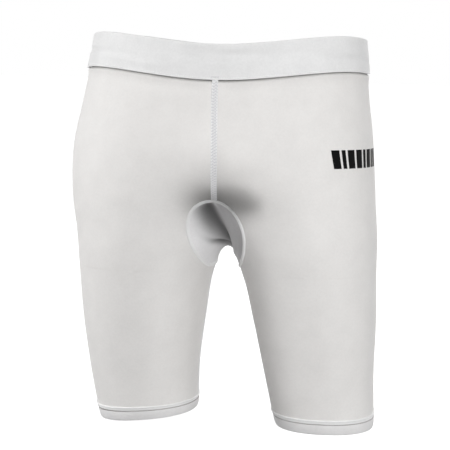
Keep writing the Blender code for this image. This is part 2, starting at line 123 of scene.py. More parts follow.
def worn_field(p):
    """About the distance outside the worn shape, negative inside.

    Each leg: |across / half|^n + |depth / depth|^n = 1. The legs are joined by a smooth minimum,
    and a Gaussian bulge is taken off in front.
    """
    centre, half, front, back = girth(p[..., 2])
    depth = np.where(p[..., 1] < 0, front, back)
    legs = []
    for side in (-1, 1):
        across = side * p[..., 0] - centre
        power = np.abs(across / half) ** ROUNDNESS + np.abs(p[..., 1] / depth) ** ROUNDNESS
        reach = np.hypot(across, p[..., 1])
        legs.append(reach - reach / np.maximum(power ** (1 / ROUNDNESS), 1e-6))
    softness = BRIDGE * np.clip(centre / BRIDGE_FULL, 0, 1) + 1e-5
    melt = np.maximum(softness - np.abs(legs[0] - legs[1]), 0) / softness
    away = (p[..., 0] - BULGE_PLACE[0]) ** 2 + (p[..., 2] - BULGE_PLACE[1]) ** 2
    bulge = BULGE_OUT * np.exp(-away / BULGE_RADIUS ** 2) * np.clip(-p[..., 1] / BULGE_FADE, 0, 1)
    return np.minimum(*legs) - melt ** 3 * softness / 6 - bulge


def slope_of(p, step=5e-4):
    """Gradient of the field by central differences."""
    rises = [worn_field(p + step * axis) - worn_field(p - step * axis) for axis in np.eye(3)]
    return np.stack(rises, axis=-1) / (2 * step)


def facing(p):
    """Unit vectors straight out of the cloth."""
    slope = slope_of(p)
    return slope / np.linalg.norm(slope, axis=-1, keepdims=True)


def slide(p, free=(1, 1, 1), steps=8):
    """Slide points onto the worn shape down the field's slope, as far as each axis is free."""
    for _ in range(steps):
        slope = slope_of(p)
        way = slope * np.asarray(free)
        steepness = np.maximum(np.sum(slope * way, axis=-1, keepdims=True), 1e-3)
        p = p - worn_field(p)[..., None] * way / steepness
    return p


def cast(origin, heading, far=FAR, near=0.004, halvings=26):
    """Where level rays that start inside the worn shape leave it, or their far end."""
    origin, heading = np.broadcast_arrays(origin, heading)
    low = np.full(origin.shape[:-1], near)
    high = np.minimum(np.broadcast_to(far, origin.shape[:-1]), FAR)
    for _ in range(halvings):
        middle = (low + high) / 2
        inside = worn_field(origin + middle[..., None] * heading) < 0
        low = np.where(inside, middle, low)
        high = np.where(inside, high, middle)
    return origin + low[..., None] * heading


def stack(x, y, z):
    return np.stack(np.broadcast_arrays(x, y, z), axis=-1).astype(float)


def on_leg(side, turn, z, past=0.0):
    """Point on a leg at height z, no further in than some way past the centre plane.

    Turn is 0 straight out to the side and negative in front.
    """
    centre = girth(z)[0]
    outward = np.cos(turn)
    far = np.where(outward < 0, (centre + past) / np.maximum(-outward, 1e-6), FAR)
    return cast(stack(side * centre, 0.0, z), stack(side * outward, np.sin(turn), 0.0), far)


def on_centre(x, z, way):
    """Point in front (way -1) or behind (+1), at x and height z."""
    return cast(stack(x, 0.0, z), stack(0.0, float(way), 0.0))


def on_waist(turn, z):
    return cast(stack(0.0, 0.0, z), stack(np.cos(turn), np.sin(turn), 0.0))


def rim_height(p):
    """Rim over a point: dips with the sine squared of its direction and rounds off at the sides."""
    share = p[..., 1] ** 2 / (p[..., 0] ** 2 + p[..., 1] ** 2)
    return RIM - share * np.where(p[..., 1] < 0, FRONT_DIP, BACK_DIP) - SIDE_DIP * (1 - share) ** 8


def stand(p):
    """Take a point of the upright shape to the stance: legs lean, the right hem rides up."""
    fade = np.clip(1 - p[..., 2] / HEM_RISE_REACH, 0, 1) ** 2
    inward = np.clip((p[..., 0] + GIRTH[0, 1]) / (GIRTH[0, 1] - GIRTH[0, 2]), 0, 1)
    rise = RIGHT_HEM_RISE * inward * fade * (p[..., 0] < 0)
    lean = spline(p[..., 2], LEAN[:, 0], LEAN[:, 1])
    return stack(p[..., 0] + lean + PLACE[0], p[..., 1] + PLACE[1], p[..., 2] + rise)


def oval(side, u):
    """Gusset's outline on one side: u runs from the front tip (0) to the back tip (pi).

    Its half-width is sin u times the inner width plus a part that dies out as a power of cos u.
    """
    tall = np.abs(np.cos(u))
    x = np.sin(u) * (GUSSET_INNER + GUSSET_WIDE[side] * tall ** GUSSET_TAPER)
    front, back = girth(np.full(np.shape(u), GUSSET_TOP))[2:]
    y = -np.sign(np.cos(u)) * tall ** GUSSET_FULLNESS * np.where(np.cos(u) > 0, front, back)
    z = GUSSET_TIP + (GUSSET_TOP - GUSSET_TIP) * np.cos(u) ** 2
    return slide(stack(side * np.maximum(x, 0), y, z), free=(1, 1, 0))


def crotch_line(u):
    """Centre line of the gusset, on the centre plane, under the crotch."""
    front, back = girth(np.full(np.shape(u), GUSSET_TOP))[2:]
    y = -np.cos(u) * np.where(np.cos(u) > 0, front, back)
    z = CROTCH + (GUSSET_TOP - CROTCH) * np.cos(u) ** 2
    return slide(stack(0.0, y, z), free=stack(0.0, 1.0, np.sin(u) ** 2))


def bell(x, width):
    """1 at nought, falling smoothly away over the width."""
    return np.exp(-(x / width) ** 2)


def ease(x):
    """From 0 to 1 as x does, with a smooth start and end."""
    x = np.clip(x, 0, 1)
    return x * x * (3 - 2 * x)


def quarter_turn(rows):
    """Places from the gusset's tip to its lowest point, closer together at the thigh."""
    return math.pi / 2 * (1 - (1 - np.linspace(0, 1, rows + 1)) ** 1.4)


def front_seam(z):
    """Sideways place of the front seam: a Gaussian of height."""
    return SEAM_DRIFT * bell(z - DRIFT_HEIGHT, DRIFT_REACH)


# ---------------------------------------------------------------- materials
def linear(code):
    """Linear colour of an sRGB hex value."""
    parts = [int(code[k:k + 2], 16) / 255 for k in (1, 3, 5)]
    return [c / 12.92 if c <= 0.04045 else ((c + 0.055) / 1.055) ** 2.4 for c in parts] + [1.0]


def add_node(material, kind, settings=None, links=None):
    """Add one node. Settings are its properties, links fill sockets with values or outputs."""
    tree = material.node_tree
    node = tree.nodes.new(kind)
    for key, value in (settings or {}).items():
        setattr(node, key, value)
    for key, value in (links or {}).items():
        if isinstance(value, bpy.types.NodeSocket):
            tree.links.new(value, node.inputs[key])
        else:
            node.inputs[key].default_value = value
    return node


def blank(name):
    """Material with its Principled shader and nothing else set."""
    material = bpy.data.materials.new(name)
    material.use_nodes = True
    return material, material.node_tree.nodes["Principled BSDF"]


def metric_map(material):
    """The cloth's own map: millimetres across and along the piece."""
    return add_node(material, "ShaderNodeUVMap", {"uv_map": "cloth_mm"}).outputs["UV"]


def knit_height(material, where, wale, course):
    """Height of a plain knit: wales side by side, their loops leaning like a row of V."""
    split = add_node(material, "ShaderNodeSeparateXYZ", links={"Vector": where})
    across = add_node(material, "ShaderNodeMath", {"operation": "MULTIPLY"},
                      {0: split.outputs["X"], 1: 2 * math.pi / wale})
    ribs = add_node(material, "ShaderNodeMath", {"operation": "COSINE"}, {0: across.outputs[0]})
    bent = add_node(material, "ShaderNodeMath", {"operation": "ABSOLUTE"}, {0: ribs.outputs[0]})
    along = add_node(material, "ShaderNodeMath", {"operation": "MULTIPLY_ADD"},
                     {0: split.outputs["Y"], 1: 2 * math.pi / course, 2: 0.0})
    lean = add_node(material, "ShaderNodeMath", {"operation": "MULTIPLY_ADD"},
                    {0: bent.outputs[0], 1: 1.6, 2: along.outputs[0]})
    loops = add_node(material, "ShaderNodeMath", {"operation": "SINE"}, {0: lean.outputs[0]})
    return add_node(material, "ShaderNodeMath", {"operation": "MULTIPLY_ADD"},
                    {0: loops.outputs[0], 1: 0.35, 2: bent.outputs[0]}).outputs[0]


def polyester_jersey(name, light, shade, wale=0.9, course=0.8, depth=0.10, folded=False):
    """White polyester-elastane jersey, circular-knitted and heat-set.

    It gives a matt, slightly silky white: the loops scatter light and the flat filaments add a
    faint sheen. Real wales are about 0.45 mm apart; they are drawn at 0.9 mm so that they show.
    A folded piece takes painted shade: its colour is multiplied by a per-point attribute that is darker in
    its folds, in recesses and where the legs part.
    """
    material, shader = blank(name)
    where = metric_map(material)
    knit = knit_height(material, where, wale, course)
    place = add_node(material, "ShaderNodeTexCoord").outputs["Object"]
    # Yarn takes up light unevenly: clouds about 25 mm across and specks of a few loops.
    clouds = add_node(material, "ShaderNodeTexNoise", {"noise_dimensions": "3D"},
                      {"Vector": place, "Scale": 40.0, "Detail": 3.0, "Roughness": 0.55})
    specks = add_node(material, "ShaderNodeTexNoise", {"noise_dimensions": "3D"},
                      {"Vector": place, "Scale": 420.0, "Detail": 2.0, "Roughness": 0.6})
    mixed = add_node(material, "ShaderNodeMix", {"data_type": "FLOAT"},
                     {0: 0.45, 2: clouds.outputs["Fac"], 3: specks.outputs["Fac"]})
    tone = add_node(material, "ShaderNodeMapRange", {},
                    {"Value": mixed.outputs[0], "From Min": 0.35, "From Max": 0.65})
    colour = add_node(material, "ShaderNodeMix", {"data_type": "RGBA"},
                      {0: tone.outputs["Result"], 6: linear(shade), 7: linear(light)})
    bump = add_node(material, "ShaderNodeBump", {},
                    {"Height": knit, "Strength": 0.35, "Distance": depth * MM})
    soft = add_node(material, "ShaderNodeBump", {},
                    {"Height": specks.outputs["Fac"], "Strength": 0.25, "Distance": 0.2 * MM,
                     "Normal": bump.outputs["Normal"]})
    # Painted shade: the colour is multiplied by the piece's per-point shade attribute.
    if folded:
        lost = add_node(material, "ShaderNodeAttribute", {"attribute_name": "painted_shade"})
        colour = add_node(material, "ShaderNodeMix", {"data_type": "RGBA", "blend_type": "MULTIPLY"},
                          {0: 1.0, 6: colour.outputs[2], 7: lost.outputs["Color"]})
    tree = material.node_tree
    tree.links.new(colour.outputs[2], shader.inputs["Base Color"])
    tree.links.new(soft.outputs["Normal"], shader.inputs["Normal"])
    shader.inputs["Roughness"].default_value = 0.62
    shader.inputs["Specular IOR Level"].default_value = 0.35
    shader.inputs["Sheen Weight"].default_value = 0.25
    shader.inputs["Sheen Roughness"].default_value = 0.45
    return material


def textured_thread(name, light, shade):
    """Textured polyester sewing thread: bulked filaments, brighter than the cloth and soft."""
    material, shader = blank(name)
    place = add_node(material, "ShaderNodeTexCoord").outputs["Object"]
    fuzz = add_node(material, "ShaderNodeTexNoise", {},
                    {"Vector": place, "Scale": 1400.0, "Detail": 2.0, "Roughness": 0.6})
    colour = add_node(material, "ShaderNodeMix", {"data_type": "RGBA"},
                      {0: fuzz.outputs["Fac"], 6: linear(shade), 7: linear(light)})
    bump = add_node(material, "ShaderNodeBump", {},
                    {"Height": fuzz.outputs["Fac"], "Strength": 0.4, "Distance": 0.12 * MM})
    tree = material.node_tree
    tree.links.new(colour.outputs[2], shader.inputs["Base Color"])
    tree.links.new(bump.outputs["Normal"], shader.inputs["Normal"])
    shader.inputs["Roughness"].default_value = 0.50
    shader.inputs["Sheen Weight"].default_value = 0.30
    return material


def woven_elastic(name):
    """Woven elastic: covered rubber threads along it, wefts across every 1.2 mm."""
    material, shader = blank(name)
    split = add_node(material, "ShaderNodeSeparateXYZ", links={"Vector": metric_map(material)})
    wave = add_node(material, "ShaderNodeMath", {"operation": "MULTIPLY"},
                    {0: split.outputs["X"], 1: 2 * math.pi / 1.2})
    weft = add_node(material, "ShaderNodeMath", {"operation": "SINE"}, {0: wave.outputs[0]})
    bump = add_node(material, "ShaderNodeBump", {},
                    {"Height": weft.outputs[0], "Strength": 0.6, "Distance": 0.2 * MM})
    material.node_tree.links.new(bump.outputs["Normal"], shader.inputs["Normal"])
    shader.inputs["Base Color"].default_value = linear("#E6E5E2")
    shader.inputs["Roughness"].default_value = 0.72
    return material


def transfer_film(name):
    """Polyurethane transfer film pressed on hot: satin black that takes a little of the knit."""
    material, shader = blank(name)
    place = add_node(material, "ShaderNodeTexCoord").outputs["Object"]
    grain = add_node(material, "ShaderNodeTexNoise", {},
                     {"Vector": place, "Scale": 900.0, "Detail": 2.0})
    tone = add_node(material, "ShaderNodeMix", {"data_type": "RGBA"},
                    {0: grain.outputs["Fac"], 6: linear("#020202"), 7: linear("#060607")})
    bump = add_node(material, "ShaderNodeBump", {},
                    {"Height": grain.outputs["Fac"], "Strength": 0.3, "Distance": 0.1 * MM})
    tree = material.node_tree
    tree.links.new(tone.outputs[2], shader.inputs["Base Color"])
    tree.links.new(bump.outputs["Normal"], shader.inputs["Normal"])
    shader.inputs["Roughness"].default_value = 0.60
    shader.inputs["Specular IOR Level"].default_value = 0.08
    return material


def lit_acrylic(name):
    """Opal acrylic sheet lit from beneath: an even white that still takes a soft shadow."""
    material, shader = blank(name)
    shader.inputs["Base Color"].default_value = linear("#F4F4F4")
    shader.inputs["Roughness"].default_value = 0.9
    shader.inputs["Emission Color"].default_value = linear("#FFFFFF")
    shader.inputs["Emission Strength"].default_value = 0.80
    return material


def black_card(name):
    """Matt black card."""
    material, shader = blank(name)
    shader.inputs["Base Color"].default_value = linear("#0A0A0A")
    shader.inputs["Roughness"].default_value = 1.0
    return material


# ---------------------------------------------------------------- mesh helpers
def add_grid(name, points, material, metric, wrap_rows=False, wrap_columns=False, caps=False):
    """Mesh of a grid of points already in the stance, with its map in millimetres.

    Metric gives each row's and column's place in metres. A wrapped grid has one more of them.
    """
    rows, columns = points.shape[:2]
    i, j = np.meshgrid(np.arange(rows - (not wrap_rows)), np.arange(columns - (not wrap_columns)),
                       indexing="ij")
    corner_i = np.stack([i, i + 1, i + 1, i], axis=-1).reshape(-1, 4)
    corner_j = np.stack([j, j, j + 1, j + 1], axis=-1).reshape(-1, 4)
    quads = (corner_i % rows) * columns + corner_j % columns
    faces = quads.tolist()
    if caps:
        faces.append(list(range(columns)))
        faces.append([(rows - 1) * columns + k for k in reversed(range(columns))])
    mesh = bpy.data.meshes.new(name)
    mesh.from_pydata(points.reshape(-1, 3).tolist(), [], faces)
    along, across = metric
    uv = np.zeros((len(mesh.loops), 2))
    uv[:quads.size, 0] = across[corner_j.ravel()] / MM
    uv[:quads.size, 1] = along[corner_i.ravel()] / MM
    mesh.uv_layers.new(name="cloth_mm").data.foreach_set("uv", uv.ravel())
    return add_piece(name, mesh, material)


def add_piece(name, mesh, material):
    mesh.update()
    mesh.shade_smooth()
    mesh.materials.append(material)
    obj = bpy.data.objects.new(name, mesh)
    bpy.context.scene.collection.objects.link(obj)
    return obj


def lengths(points):
    """Distance travelled along a line of points, starting at nought."""
    steps = np.linalg.norm(np.diff(points, axis=0), axis=-1)
    return np.concatenate([[0.0], np.cumsum(steps)])


def thicken(obj, thickness):
    """Second face of a cloth, under its outer one."""
    solidify = obj.modifiers.new("thickness", "SOLIDIFY")
    solidify.thickness = thickness
    solidify.offset = -1
    return obj


def outward_first(points, out):
    """Turn the columns round where needed, so that the faces look along out."""
    middle = tuple(n // 2 for n in points.shape[:2])
    a, b = points[middle], points[middle[0] + 1, middle[1]]
    c = points[middle[0], middle[1] + 1]
    return points if np.dot(np.cross(b - a, c - a), out[middle]) > 0 else points[:, ::-1]


def cloth(name, points, out, material, thickness, painted_shade=None):
    """Open sheet of cloth from a grid in the upright shape. Its painted shade is 1 where the colour is left
    as it is, and lower where shade is painted in.
    """
    upright = stand(points)
    standing = outward_first(upright, out)
    metric = lengths(standing[:, standing.shape[1] // 2]), lengths(standing[standing.shape[0] // 2])
    obj = add_grid(name, standing, material, metric)
    if painted_shade is not None:
        light = painted_shade if standing is upright else painted_shade[:, ::-1]
        layer = obj.data.attributes.new("painted_shade", "FLOAT_COLOR", "POINT")
        layer.data.foreach_set("color", np.repeat(light.ravel(), 4))
    return thicken(obj, thickness)


def loft(name, sections, material, loop=False):
    """Closed sections joined into a solid. A loop has no ends, anything else is capped."""
    standing = stand(sections)
    spine = standing[1].mean(axis=0) - standing[0].mean(axis=0)
    turn = np.cross(standing[0], np.roll(standing[0], -1, axis=0)).sum(axis=0)
    if np.dot(spine, turn) > 0:
        standing = standing[:, ::-1]
    along = lengths(np.concatenate([standing[:, 0], standing[:1, 0]]))
    across = lengths(np.concatenate([standing[0], standing[0, :1]]))
    return add_grid(name, standing, material, (along, across), loop, True, not loop)


# ---------------------------------------------------------------- threads
def row_on(strip, share):
    """Line along a strip of cloth, at a share of its width from -1 to 1."""
    place = (share + 1) / 2 * (strip.shape[1] - 1)
    low = min(int(place), strip.shape[1] - 2)
    return strip[:, low] * (1 - place + low) + strip[:, low + 1] * (place - low)


def resample(line, distance):
    """Points at the given distances along a line."""
    travelled = lengths(line)
    return np.stack([np.interp(distance, travelled, line[:, k]) for k in range(3)], axis=-1)


def stitch_row(line, out, pitch, length, radius, height):
    """Short thread bows end to end: each rises as 1 - t^2 above the cloth and dips at both ends."""
    total = lengths(line)[-1]
    count = max(int(total / pitch), 1)
    t = np.linspace(-1, 1, 7)
    distance = (np.arange(count)[:, None] + 0.5) * total / count + t[None, :] * length / 2
    spine = resample(line, distance.ravel()).reshape(count, -1, 3)
    normal = resample_normals(line, out, distance).reshape(count, -1, 3)
    along = np.gradient(spine, axis=1)
    along /= np.linalg.norm(along, axis=-1, keepdims=True)
    beside = np.cross(along, normal)
    lift = height * (1 - t ** 4) - radius * t ** 4
    girths = radius * np.sqrt(np.maximum(1 - t ** 4, 0.06))
    angle = np.linspace(0, 2 * math.pi, 6, endpoint=False)
    ring = beside[:, :, None] * np.cos(angle)[:, None] + normal[:, :, None] * np.sin(angle)[:, None]
    middle = spine + normal * lift[None, :, None]
    return middle[:, :, None] + ring * girths[None, :, None, None]


def resample_normals(line, out, distance):
    travelled = lengths(line)
    normal = np.stack([np.interp(distance.ravel(), travelled, out[:, k]) for k in range(3)], axis=-1)
    return normal / np.linalg.norm(normal, axis=-1, keepdims=True)


def add_stitches(name, rows, material):
    """One piece of many short closed threads."""
    stitches = stand(np.concatenate(rows))
    count, rings, sides = stitches.shape[:3]
    base = (np.arange(count) * rings * sides)[:, None]
    i, j = np.meshgrid(np.arange(rings - 1), np.arange(sides), indexing="ij")
    beside = (j + 1) % sides
    quads = np.stack([i * sides + j, i * sides + beside, (i + 1) * sides + beside, (i + 1) * sides + j],
                     axis=-1).reshape(1, -1, 4) + base[:, :, None]
    start = base + np.arange(sides)[None, ::-1]
    end = base + (rings - 1) * sides + np.arange(sides)[None, :]
    mesh = bpy.data.meshes.new(name)
    faces = quads.reshape(-1, 4).tolist() + start.tolist() + end.tolist()
    mesh.from_pydata(stitches.reshape(-1, 3).tolist(), [], faces)
    return add_piece(name, mesh, material)


def zigzag(strip, out_strip, pitch, width, radius, height):
    """Tube that runs from side to side of a strip as a rounded triangle wave."""
    middle = row_on(strip, 0)
    total = lengths(middle)[-1]
    distance = np.linspace(0, total, int(total / pitch * 6))
    swing = np.arcsin(0.97 * np.sin(2 * math.pi * distance / pitch)) / (math.pi / 2) * width
    left, right = resample(row_on(strip, -1), distance), resample(row_on(strip, 1), distance)
    centre, normal = resample(middle, distance), resample_normals(middle, row_on(out_strip, 0), distance)
    spine = centre + (right - left) / 2 * swing[:, None]
    along = np.gradient(spine, axis=0)
    along /= np.linalg.norm(along, axis=-1, keepdims=True)
    beside = np.cross(along, normal)
    angle = np.linspace(0, 2 * math.pi, 5, endpoint=False)
    ring = beside[:, None] * np.cos(angle)[:, None] + normal[:, None] * np.sin(angle)[:, None]
    rise = height * (1 - 0.5 * swing ** 2)
    return (spine + normal * rise[:, None])[:, None] + ring * radius


# ---------------------------------------------------------------- leg panels
AROUND = 190             # columns of a leg panel
PANEL_WIDTH = 0.45       # about, from its front seam round to its back seam
UPPER_ROWS = 80
GUSSET_ROWS = 60
LEG_ROWS = 70
SLIT = 0.15 * MM         # half the gap between the edges that a seam covers
SEAM_ROWS = 90
SEAM_COLUMNS = 9


def panel_grid(side):
    """Leg panel from waist seam to hem. Columns run from the front edge round to the back edge."""
    share = np.linspace(0, 1, AROUND)
    up = np.linspace(1, 0, UPPER_ROWS)[:, None]
    z = GUSSET_TOP + (RIM - BAND - GUSSET_TOP) * up * np.ones(AROUND)
    for _ in range(3):
        edges = []
        for column, way in ((0, FRONT), (-1, BACK)):
            level = z[:, column]
            leave = np.clip((level - GUSSET_TOP) / DRIFT_START, 0, 1)
            x = side * SLIT + (front_seam(level) * leave if way == FRONT else 0)
            edge = on_centre(x, level, way)
            edges.append(np.arctan2(edge[:, 1], side * x - girth(level)[0]))
        turn = edges[0][:, None] + (edges[1] - edges[0])[:, None] * share
        upper = on_leg(side, turn, z, past=2 * SEAM_DRIFT)
        z = GUSSET_TOP + (rim_height(upper) - BAND - GUSSET_TOP) * up

    u = quarter_turn(GUSSET_ROWS)[1:]
    front, back = oval(side, u), oval(side, math.pi - u)
    centre = girth(front[:, 2])[0]
    slit = SLIT / (centre[-1] - GUSSET_INNER)
    start = np.maximum(np.arctan2(front[:, 1], side * front[:, 0] - centre), slit - math.pi)
    end = np.minimum(np.arctan2(back[:, 1], side * back[:, 0] - centre), math.pi - slit)
    start[-1], end[-1] = slit - math.pi, math.pi - slit
    middle = on_leg(side, start[:, None] + (end - start)[:, None] * share, front[:, 2][:, None])

    z = np.linspace(GUSSET_TIP, HEM, LEG_ROWS + 1)[1:, None]
    turn = (math.pi - slit) * (2 * share - 1)
    lower = on_leg(side, turn[None, :], z)
    return np.concatenate([upper, middle, lower])


def bend(obj):
    """Bake the cloth's placement into its mesh, where it stands; it is not bent."""
    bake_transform(obj)


def leg_panel(word, side):
    """One cut piece of jersey wrapped round the thigh, tucked under the waistband at the top."""
    points = panel_grid(side)
    out = facing(points)
    below_join = rim_height(points) - BAND - points[..., 2]
    slot = bell(np.maximum(below_join, 0), 1.7 * MM)
    tuck = 3.0 * MM * slot
    # Under the waistband the cloth hollows a little in front, beside the seam.
    beside_seam = 1 - bell(points[..., 0] - front_seam(points[..., 2]), 10 * MM)
    in_front = np.clip(-points[..., 1] / (60 * MM), 0, 1)
    hollow = 1.8 * MM * bell(below_join - 9 * MM, 8 * MM) * beside_seam * in_front
    at_hem = 0.5 * MM * bell(points[..., 2] - HEM, 1.5 * MM)
    # The flat seams draw the cloth in a little, in ripples 5 mm apart that die out over 5 mm.
    edge = np.minimum(np.arange(AROUND), np.arange(AROUND)[::-1]) / (AROUND - 1) * PANEL_WIDTH
    ripple = 0.10 * MM * bell(edge[None, :], 5 * MM) * np.sin(points[..., 2] / (0.8 * MM))
    points = points + out * (ripple - tuck - hollow - at_hem)[..., None]
    # Painted shade: a soft dark patch over the gusset's tip, either side of the seam, where the legs part.
    above_tip = bell(points[..., 0] - 4 * MM, 30 * MM) * bell(points[..., 2] - 262 * MM, 19 * MM)
    fork = 0.60 * above_tip * (points[..., 1] < 0)
    # Painted shade also darkens the slot under the waistband, beyond the shade its tuck gives.
    light = (1 - 0.62 * slot) * (1 - fork)
    obj = cloth(f"{word}_leg_panel_cloth", points, out, jersey, 0.8 * MM, light)
    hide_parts(f"{word}_hip_panel", f"{word}_thigh_panel")
    bend(obj)


# ---------------------------------------------------------------- flat seams
def flat_seam(name, points, node, rise, pitch, bodies, rows=(-0.74, 0.74)):
    """Flatlock seam: a low tape of covering threads, needle rows, and the cross thread between.

    Points is a strip on the cloth, rows along it and columns across.
    """
    out = facing(points)
    across = np.linspace(-1, 1, points.shape[1])
    crown = (1 - across ** 4) ** 0.5
    # Between its two raised edges the tape lies lower.
    height = rise * np.maximum(crown * (0.55 + 0.45 * np.clip(2.2 * np.abs(across) - 0.9, 0, 1)), 0.02)
    base = points - out * 0.15 * MM
    top = (points + out * height[:, None])[:, ::-1]
    tape = loft(name, np.concatenate([base, top], axis=1), tape_thread)
    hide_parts(*node)
    lift = rise * 0.90
    threads = [stitch_row(row_on(points, row), row_on(out, row), pitch, pitch * 0.86, 0.55 * MM, lift)
               for row in rows]
    needles = add_stitches(name + "_needle_rows", threads, bright_thread)
    cover = loft(name + "_cover_thread", zigzag(points, out, pitch, rows[-1], 0.34 * MM, rise * 1.02),
                 bright_thread)
    for obj in (tape, needles, cover):
        bodies(obj)


def rides_on(body):
    return lambda obj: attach(obj, body)


def centre_seams():
    """Seams down the middle in front and behind, from the waistband to the gusset."""
    half = 3.4 * MM
    across = np.linspace(-half, half, SEAM_COLUMNS)
    for name, node, way in (("front_seam", "centre_front_seam_tape", FRONT),
                            ("back_seam", "centre_back_seam_tape", BACK)):
        top = rim_height(on_centre(0.0, RIM - BAND, way)[None])[0] - BAND - 0.2 * MM
        z = np.linspace(top, GUSSET_TOP + 1.4 * MM, SEAM_ROWS)
        middle = front_seam(z) if way == FRONT else np.zeros(z.shape)
        strip = on_centre(middle[:, None] + across[None, :], z[:, None], way)
        flat_seam(name, strip, [node], 0.9 * MM, 3.2 * MM, rides_on("hips"))


def inseams():
    """Seams down the inner thighs, from the gusset to the hem."""
    across = np.linspace(-2.8 * MM, 2.8 * MM, SEAM_COLUMNS)
    z = np.linspace(GUSSET_TIP - 1.5 * MM, HEM + 4.0 * MM, SEAM_ROWS)
    for word, side in SIDES.items():
        centre = girth(z)[0][:, None]
        strip = cast(stack(side * centre, across[None, :], z[:, None]),
                     stack(-float(side), 0.0, 0.0), centre)
        flat_seam(f"{word}_inseam", strip, [f"{word}_inseam_tape_top", f"{word}_inseam_tape"],
                  0.8 * MM, 2.2 * MM, lambda obj, side=side, word=word: bend(obj))


# ---------------------------------------------------------------- gusset
def gusset_grid(columns=61):
    """Oval patch. Rows run front to back, columns from the right edge to the left."""
    quarter = np.maximum(quarter_turn(GUSSET_ROWS), 0.02)
    u = np.concatenate([quarter, math.pi - quarter[-2::-1]])
    middle = crotch_line(u)
    share = np.linspace(-1, 1, columns)
    target = np.where(share[None, :, None] < 0, oval(-1, u)[:, None], oval(1, u)[:, None])
    flat = middle[:, None] + (target - middle[:, None]) * np.abs(share)[None, :, None]
    return slide(flat, free=stack(1.0, 1.0, np.sin(u[:, None]) ** 2), steps=3), u, share


def gusset():
    """Oval double layer between the legs, drawn in where the legs pinch it in front.

    A deep fold slants from the top towards the left thigh; a low ridge crosses the right side. The fold and
    the cut under the ridge are painted darker than their relief, and the left half is painted grey as
    shade.
    """
    points, u, share = gusset_grid()
    out = facing(points)
    u, share = u[:, None], share[None, :]
    free = ease((1 - np.abs(share)) / 0.35) * ease(np.sin(u) / 0.5)
    # Along is 0 near the front tip and 1 at the fork. The fold's lip on the left side is steeper.
    along = (u - 0.25) / 0.80
    lower = np.clip(along, 0, 1.2)
    past = share + 0.26 - 0.42 * lower
    fold = bell(past, np.where(past > 0, 0.34, 0.52) - 0.20 * lower)
    fold = fold * ease(2.7 - 1.5 * along) * ease(along + 0.75)
    over = u - 0.80 - 0.60 * (share + 0.5)
    reach = bell(share + 0.12, 0.34)
    ridge = bell(over, 0.08) * reach
    cut = bell(over - 0.15, 0.075) * bell(share + 0.02, 0.34)
    soft = bell(share - 0.62, 0.10) * bell(u - 0.9, 0.5)
    sunk = 7.5 * fold - 1.4 * ridge + 3.0 * cut + 0.7 * soft
    points = points - out * (sunk * free * MM)[..., None]
    # Painted shade: darker along the fold and the cut, and grey over the left half, which turns from the
    # light.
    painted_grey_left_half = ease((share - 0.05) / 0.4) * bell(u - 0.85, 0.7)
    light = (1 - 0.88 * fold) * (1 - 0.82 * cut) * (1 - 0.45 * painted_grey_left_half)
    light = np.clip(light, 0.06, 1)
    patch = cloth("gusset_cloth", points, out, gusset_jersey_painted_lighter, 0.8 * MM, light)
    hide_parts("crotch_gusset")
    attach(patch, "hips")

    lining = cloth("gusset_lining_cloth", points - out * 1.9 * MM, out, lining_mesh, 0.6 * MM)
    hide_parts("gusset_lining")
    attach(lining, "hips")


def gusset_binding():
    """Bound seam round the gusset: a round-backed cord of folded jersey with a needle row."""
    quarter = quarter_turn(75)
    u = np.concatenate([quarter, math.pi - quarter[-2::-1]])
    line = np.concatenate([oval(1, u), oval(-1, u[::-1][1:-1])])
    line = resample(np.concatenate([line, line[:1]]), np.linspace(0, 1, 301)[:-1] * lengths(line)[-1])
    for _ in range(3):
        line = (np.roll(line, 1, axis=0) + 2 * line + np.roll(line, -1, axis=0)) / 4
    along = np.roll(line, -1, axis=0) - np.roll(line, 1, axis=0)
    out = facing(line)
    across = np.cross(out, along)
    across /= np.linalg.norm(across, axis=-1, keepdims=True)
    offsets = np.linspace(-2.0 * MM, 2.0 * MM, SEAM_COLUMNS)
    strip = slide(line[:, None] + across[:, None] * offsets[None, :, None], steps=3)
    out = facing(strip)
    crown = np.maximum(1 - np.linspace(-1, 1, SEAM_COLUMNS) ** 2, 0) ** 0.5
    top = strip + out * (1.25 * MM * crown + 0.02 * MM)[None, :, None]
    base = strip - out * 0.3 * MM
    binding = loft("gusset_binding", np.concatenate([base, top[:, ::-1]], axis=1), thread, loop=True)
    closed = np.concatenate([strip, strip[:1]])
    closed_out = np.concatenate([out, out[:1]])
    rows = [stitch_row(row_on(closed, s), row_on(closed_out, s), 2.2 * MM, 1.8 * MM, 0.22 * MM, h * MM)
            for s, h in ((-0.45, 1.12), (0.45, 1.12))]
    needles = add_stitches("gusset_binding_needle_rows", rows, bright_thread)
    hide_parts("gusset_seam_tape")
    for obj in (binding, needles):
        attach(obj, "hips")


# ---------------------------------------------------------------- hems
# Needle rows of a hem: their heights and the thread's radius, in mm. The left leg's are finer. Their dark
# thread is painted shadow under the hem's ridge.
HEM_NEEDLES = {"right": ((11.9,), 0.42), "left": ((11.9, 12.4), 0.20)}
HEM_COLUMNS = 260


def level_ring(place, profile):
    """Closed sections all round: profile gives (outset, height above a level) pairs."""
    sections = []
    for outset, level in profile:
        p = place(level)
        out = facing(p) * np.array((1, 1, 0))
        sections.append(p + outset * out / np.linalg.norm(out, axis=-1, keepdims=True))
    return np.stack(sections, axis=1)


